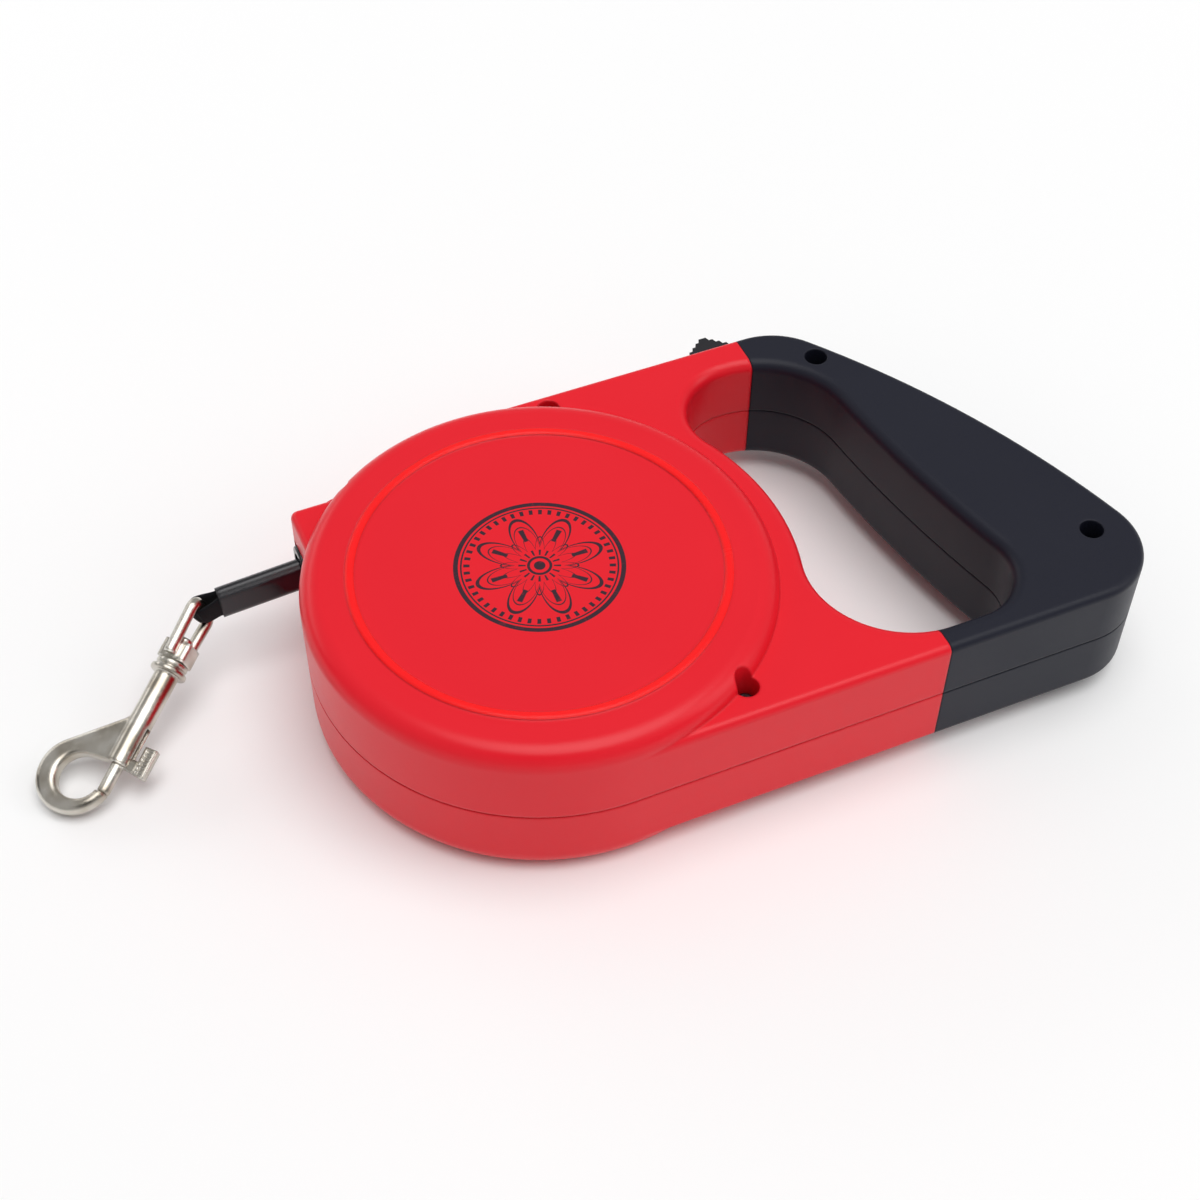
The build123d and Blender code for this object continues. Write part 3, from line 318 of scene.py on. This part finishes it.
RED = (0.78, 0.010, 0.022)
BLACK = (0.010, 0.011, 0.021)
RED_SHELL = {"roughness": 0.30, "grain_size": 0.4 * MM, "grain": 0.05, "edge_radius": 0.9 * MM, "shine": 0.27}
MATERIALS = {
    "case_front": moulded_plastic("red_shell_printed", RED, **RED_SHELL, marks=front_marks),
    "case_rear": moulded_plastic("red_shell", RED, **RED_SHELL),
    "handle": moulded_plastic("black_shell", BLACK, roughness=0.42, grain_size=0.28 * MM, grain=0.22,
                              edge_radius=0.7 * MM, shine=0.23),
    "nozzle": moulded_plastic("black_trim", (0.012, 0.012, 0.014), roughness=0.22, grain_size=0.4 * MM,
                              grain=0.05, edge_radius=0.3 * MM),
    "sleeve": moulded_plastic("sleeve_gloss", (0.005, 0.004, 0.008), roughness=0.12, grain_size=0.6 * MM,
                              grain=0.04, edge_radius=1.2 * MM, shine=0.55),
    "button": moulded_plastic("button_black", (0.014, 0.014, 0.018), roughness=0.40, grain_size=0.3 * MM,
                              grain=0.18, edge_radius=0.2 * MM, shine=0.35),
    "lever": moulded_plastic("lever_black", (0.030, 0.030, 0.034), roughness=0.45, grain_size=0.3 * MM,
                             grain=0.12, edge_radius=0.3 * MM),
    "reel": moulded_plastic("reel_natural", (0.70, 0.69, 0.64), roughness=0.38, grain_size=0.4 * MM,
                            grain=0.08, edge_radius=0.4 * MM),
    "washer": moulded_plastic("washer_natural", (0.82, 0.80, 0.72), roughness=0.45, grain_size=0.4 * MM,
                              grain=0.06, edge_radius=0.2 * MM),
    "nickel": nickel(),
    "axle": steel("axle_steel", (0.60, 0.60, 0.62), roughness=0.22, line_axis=2),
    "screw": steel("screw_black", (0.09, 0.09, 0.10), roughness=0.35, line_axis=2),
    "spring": steel("spring_steel", (0.32, 0.35, 0.42), roughness=0.28, line_axis=0),
    "tape_straight": webbing("tape_straight", follow_uv=False),
    "tape_folded": webbing("tape_folded", follow_uv=True),
}
NODE_FINISH = {
    "case_front": "case_front", "case_rear": "case_rear", "handle_front": "handle", "handle_rear": "handle",
    "case_screws": "screw", "handle_screws": "screw", "nozzle": "nozzle", "tape_sleeve": "sleeve",
    "brake_button": "button", "brake_lever": "lever", "lever_pin": "axle", "brake_spring": "spring",
    "reel": "reel", "reel_cover": "reel", "reel_washer": "washer", "axle": "axle", "mainspring": "spring",
    "snap_body": "nickel", "snap_bolt": "nickel", "swivel_eye": "nickel", "swivel_rivet": "nickel",
    "snap_spring": "spring",
}


def finish_cad_nodes():
    """Gives every CAD node its material and smooth shading across its fine facets."""
    for node, finish in NODE_FINISH.items():
        obj = frame["nodes"][node]
        obj.data.materials.clear()
        obj.data.materials.append(MATERIALS[finish])
        for polygon in obj.data.polygons:
            polygon.use_smooth = True
        smooth = obj.modifiers.new("smooth_facets", "EDGE_SPLIT")
        smooth.split_angle = math.radians(28)


# ---------------------------------------------------------------- woven tape
def swept_mesh(name, rings, material, lengths):
    """A solid strip or wire through rings of section points, with UVs in metres along and across."""
    sides = len(rings[0])
    mesh = bpy.data.meshes.new(name)
    vertices = [point for ring in rings for point in ring]
    faces = []
    for i in range(len(rings) - 1):
        for j in range(sides):
            k = (j + 1) % sides
            faces.append((i * sides + j, i * sides + k, (i + 1) * sides + k, (i + 1) * sides + j))
    last = (len(rings) - 1) * sides
    faces.append(tuple(range(sides))[::-1])
    faces.append(tuple(last + j for j in range(sides)))
    mesh.from_pydata([tuple(v) for v in vertices], [], faces)
    uv = mesh.uv_layers.new(name="metres")
    width = (Vector(rings[0][0]) - Vector(rings[0][sides // 2 - 1])).length
    shares = [j / (sides // 2 - 1) for j in range(sides // 2)]
    across = [share * width for share in shares + shares[::-1]]
    for polygon in mesh.polygons:
        for loop in polygon.loop_indices:
            vertex = mesh.loops[loop].vertex_index
            uv.data[loop].uv = (lengths[vertex // sides], across[vertex % sides])
        polygon.use_smooth = True
    mesh.materials.append(material)
    obj = bpy.data.objects.new(name, mesh)
    bpy.context.scene.collection.objects.link(obj)
    return obj


def tape_section(centre, width_dir, thick_dir, width, thickness, cup=0.0):
    """Ten points round the tape: a flat strip with rounded selvedges, cupped if asked."""
    half = width / 2
    skin = thickness / 2
    points = []
    for side in (1, -1):
        for share in (-1.0, -0.86, 0.0, 0.86, 1.0)[::side]:
            lift = skin * side * (0.45 if abs(share) == 1.0 else 1.0) + cup * (1 - share * share)
            points.append(centre + width_dir * (half * share) + thick_dir * lift)
    return points


def tape_run():
    """The straight tape from the coil, through the nozzle and the sleeve."""
    low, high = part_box("tape_run")
    start, end = high.x, low.x
    y, z = (low.y + high.y) / 2, (low.z + high.z) / 2
    across, through = Vector((0, 0, 1)), Vector((0, 1, 0))
    steps = 60
    rings, lengths = [], []
    for step in range(steps + 1):
        x = start + (end - start) * step / steps
        rings.append(tape_section(Vector((x, y, z)), across, through, high.z - low.z, high.y - low.y))
        lengths.append(start - x)
    obj = swept_mesh("tape_line", rings, MATERIALS["tape_straight"], lengths)
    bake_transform(obj)
    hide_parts("tape_run")


def tape_loop():
    """The fold of tape round the eye bar: it leaves the sleeve upright, twists and crumples on to the bar."""
    bar = Vector(JOINTS["eye_swing"]["pos_m"])
    bar_dir = Vector(JOINTS["eye_swing"]["axis"]).normalized()
    sleeve_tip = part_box("tape_sleeve")[0].x
    thickness = 1.1 * MM
    bar_radius = 1.3 * MM
    slack = 0.12 * MM
    wrap = bar_radius + slack + thickness / 2
    half_wrap = math.radians(118)
    back = Vector((1, 0, 0))
    out = (back - bar_dir * back.dot(bar_dir)).normalized()
    side = bar_dir.cross(out)
    if side.y < 0:
        side = -side
    mouth = Vector((sleeve_tip + 1.9 * MM, bar.y, bar.z + 0.3 * MM))
    layer_offset = 0.62 * MM
    up = Vector((0, 0, 1))
    rings, lengths = [], []
    travelled = 0.0
    previous = None
    stations = 64
    for i in range(stations + 1):
        share = i / stations
        half_turn = half_wrap * (2 * share - 1)
        on_bar = bar - out * (wrap * math.cos(half_turn)) - side * (wrap * math.sin(half_turn))
        # 0 on the bar, 1 in the sleeve, with a soft start and end
        leg = min(1.0, max(0.0, (abs(share - 0.5) - 0.30) / 0.20))
        leg = leg * leg * (3 - 2 * leg)
        hand = -1 if share > 0.5 else 1
        in_sleeve = mouth + Vector((0.0, hand * layer_offset, 0.0))
        centre = on_bar.lerp(in_sleeve, leg)
        width_dir = bar_dir.lerp(up, leg).normalized()
        radial = centre - bar
        thick_dir = (radial - width_dir * radial.dot(width_dir)).normalized()
        thick_dir = thick_dir.lerp(Vector((0, hand, 0)), leg)
        thick_dir = (thick_dir - width_dir * thick_dir.dot(width_dir)).normalized()
        spread = max(0.0, 2 * leg - 1)
        width = (5.1 + 1.4 * spread + 0.18 * math.sin(share * 23)) * MM
        creases = 0.16 + 0.22 * math.sin(share * 31 + 1.0) + 0.12 * math.sin(share * 57)
        ripple = creases * (1 - leg) * MM
        if previous is not None:
            travelled += (centre - previous).length
        previous = centre
        rings.append(tape_section(centre, width_dir, thick_dir, width, thickness, ripple))
        lengths.append(travelled)
    obj = swept_mesh("tape_fold", rings, MATERIALS["tape_folded"], lengths)
    subdivision = obj.modifiers.new("soft", "SUBSURF")
    subdivision.levels = 1
    subdivision.render_levels = 1
    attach(obj, "leash_end")
    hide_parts("tape_loop")


def tape_coil():
    """The wound tape: one long spiral strip on the reel's hub."""
    low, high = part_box("tape_coil")
    outer = high.x
    inner = min(Vector((v.co.x, v.co.y, 0)).length for v in frame["nodes"]["tape_coil"].data.vertices)
    z = (low.z + high.z) / 2
    thickness = 0.9 * MM
    pitch = thickness * 1.03
    turns = (outer - inner - thickness) / pitch
    per_turn = 56
    steps = int(turns * per_turn)
    up = Vector((0, 0, 1))
    rings, lengths = [], []
    travelled = 0.0
    for step in range(steps + 1):
        turn = turns * step / steps
        radius = inner + thickness / 2 + pitch * turn
        angle = 2 * math.pi * turn + math.radians(90)
        radial = Vector((math.cos(angle), math.sin(angle), 0))
        rings.append(tape_section(radial * radius + up * z, up, radial, high.z - low.z, thickness * 0.96))
        travelled += 2 * math.pi * radius * turns / steps
        lengths.append(travelled)
    obj = swept_mesh("tape_wound", rings, MATERIALS["tape_folded"], lengths)
    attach(obj, "reel")
    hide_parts("tape_coil")


# ---------------------------------------------------------------- springs
def wire_spring(name, node, axis, turns, wire):
    """Round wire coiled where the CAD spring is."""
    axis = Vector(axis).normalized()
    low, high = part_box(node)
    centre = (low + high) / 2
    points = [vertex.co - centre for vertex in frame["nodes"][node].data.vertices]
    heights = [point.dot(axis) for point in points]
    foot, head = min(heights) + wire, max(heights) - wire
    radius = max((point - axis * point.dot(axis)).length for point in points) - wire
    side = axis.orthogonal().normalized()
    across = axis.cross(side)
    per_turn = 24
    sides = 8
    rings, lengths = [], []
    for step in range(turns * per_turn + 1):
        angle = 2 * math.pi * step / per_turn
        share = step / (turns * per_turn)
        outward = side * math.cos(angle) + across * math.sin(angle)
        middle = centre + outward * radius + axis * (foot + (head - foot) * share)
        ring = []
        for corner in range(sides):
            turn = 2 * math.pi * corner / sides
            ring.append(middle + outward * (wire * math.cos(turn)) + axis * (wire * math.sin(turn)))
        rings.append(ring)
        lengths.append(radius * angle)
    obj = swept_mesh(name, rings, MATERIALS["spring"], lengths)
    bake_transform(obj)
    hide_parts(node)


# ---------------------------------------------------------------- studio
SKY_LEVEL = 0.44


def studio_floor():
    """A pale seamless table, far larger than the view."""
    s = Shader("studio_floor")
    tone = s.noise(0.25, 2.0)
    s.set("Base Color", s.mix(tone, (0.93, 0.93, 0.93), (0.95, 0.95, 0.95)))
    s.set("Roughness", 0.7)
    s.set("Specular IOR Level", 0.15)
    mesh = bpy.data.meshes.new("floor")
    reach = 12.0
    depth = -0.0002
    corners = [(x * reach, y * reach, depth) for x, y in ((-1, -1), (1, -1), (1, 1), (-1, 1))]
    mesh.from_pydata(corners, [], [(0, 1, 2, 3)])
    mesh.materials.append(s.material)
    obj = bpy.data.objects.new("floor", mesh)
    bpy.context.scene.collection.objects.link(obj)


def soft_light(name, place, aim, size, watts):
    """A rectangular panel that faces a point."""
    data = bpy.data.lights.new(name, "AREA")
    data.shape = "RECTANGLE"
    data.size, data.size_y = size
    data.energy = watts
    obj = bpy.data.objects.new(name, data)
    obj.location = place
    obj.rotation_euler = (Vector(aim) - Vector(place)).to_track_quat("-Z", "Y").to_euler()
    bpy.context.scene.collection.objects.link(obj)


def overhead_light(name, towards, spread, strength):
    """An even light over the whole table, from a disc of the sky this many degrees wide."""
    data = bpy.data.lights.new(name, "SUN")
    data.energy = strength
    data.angle = math.radians(spread)
    obj = bpy.data.objects.new(name, data)
    obj.rotation_euler = (-Vector(towards)).to_track_quat("-Z", "Y").to_euler()
    bpy.context.scene.collection.objects.link(obj)


def sky(camera_back):
    """A soft even room, dark where the camera stands and in two corners, so that metal has contrast."""
    world = bpy.data.worlds.new("studio")
    bpy.context.scene.world = world
    world.use_nodes = True
    tree = world.node_tree
    tree.nodes.clear()
    link = tree.links.new
    out = tree.nodes.new("ShaderNodeOutputWorld")
    background = tree.nodes.new("ShaderNodeBackground")
    direction = tree.nodes.new("ShaderNodeTexCoord").outputs["Generated"]

    def patch(towards, narrow, wide, level):
        """The level inside a cone about a direction, 1 outside it, with a soft rim."""
        dot = tree.nodes.new("ShaderNodeVectorMath")
        dot.operation = "DOT_PRODUCT"
        link(direction, dot.inputs[0])
        dot.inputs[1].default_value = Vector(towards).normalized()
        ramp = tree.nodes.new("ShaderNodeMapRange")
        ramp.interpolation_type = "SMOOTHSTEP"
        link(dot.outputs["Value"], ramp.inputs["Value"])
        ramp.inputs["From Min"].default_value = math.cos(math.radians(wide))
        ramp.inputs["From Max"].default_value = math.cos(math.radians(narrow))
        ramp.inputs["To Min"].default_value = 1.0
        ramp.inputs["To Max"].default_value = level
        return ramp.outputs["Result"]

    def product(a, b):
        node = tree.nodes.new("ShaderNodeMath")
        node.operation = "MULTIPLY"
        link(a, node.inputs[0])
        link(b, node.inputs[1])
        return node.outputs[0]

    strength = product(patch((-0.75, 0.60, 0.30), 8, 24, 0.08), patch((0.55, -0.80, 0.20), 6, 20, 0.10))
    strength = product(strength, patch(camera_back, 8, 26, 0.10))
    background.inputs["Color"].default_value = (SKY_LEVEL, SKY_LEVEL, SKY_LEVEL, 1.0)
    link(strength, background.inputs["Strength"])
    link(background.outputs[0], out.inputs["Surface"])


def studio(camera_back):
    """A very soft key from overhead, a weak panel at the right and a strip behind."""
    overhead_light("key", towards=(0.10, -0.15, 1.15), spread=50, strength=1.78)
    soft_light("right_panel", place=(0.95, -0.55, 0.70), aim=(0, 0, 0.02), size=(0.5, 0.8), watts=2.2)
    soft_light("back_strip", place=(-0.55, 0.95, 0.45), aim=(-0.05, 0, 0.02), size=(1.0, 0.25), watts=1.6)
    sky(camera_back)
    bpy.context.scene.view_settings.view_transform = "Standard"
    bpy.context.scene.view_settings.look = "None"


def camera():
    """Seen from the near left and well above; returns the direction from the leash to the camera."""
    azimuth, elevation, roll = math.radians(-23.8), math.radians(49.22), math.radians(0.58)
    distance, shift_right, shift_up = 0.418, 0.0124, -0.0071
    aim = Vector((0, 0, 0.038))
    back = Vector((math.sin(azimuth) * math.cos(elevation), -math.cos(azimuth) * math.cos(elevation),
                   math.sin(elevation)))
    level_right = Vector((math.cos(azimuth), math.sin(azimuth), 0))
    level_up = back.cross(level_right)
    right = level_right * math.cos(roll) + level_up * math.sin(roll)
    up = level_up * math.cos(roll) - level_right * math.sin(roll)
    data = bpy.data.cameras.new("camera")
    data.sensor_width = 36.0
    data.lens = 61.0
    data.clip_start = 0.01
    data.clip_end = 50.0
    obj = bpy.data.objects.new("camera", data)
    place = aim + back * distance + right * shift_right + up * shift_up
    turn = Matrix((right, up, back)).transposed().to_4x4()
    obj.matrix_world = Matrix.Translation(place) @ turn
    bpy.context.scene.collection.objects.link(obj)
    bpy.context.scene.camera = obj
    return back


finish_cad_nodes()
tape_run()
tape_loop()
tape_coil()
wire_spring("brake_coil", "brake_spring", (0, 1, 0), turns=6, wire=0.25 * MM)
bolt_forward = -Vector(JOINTS["bolt_slide"]["axis"])
wire_spring("bolt_coil", "snap_spring", bolt_forward, turns=10, wire=0.22 * MM)
studio_floor()
studio(camera())
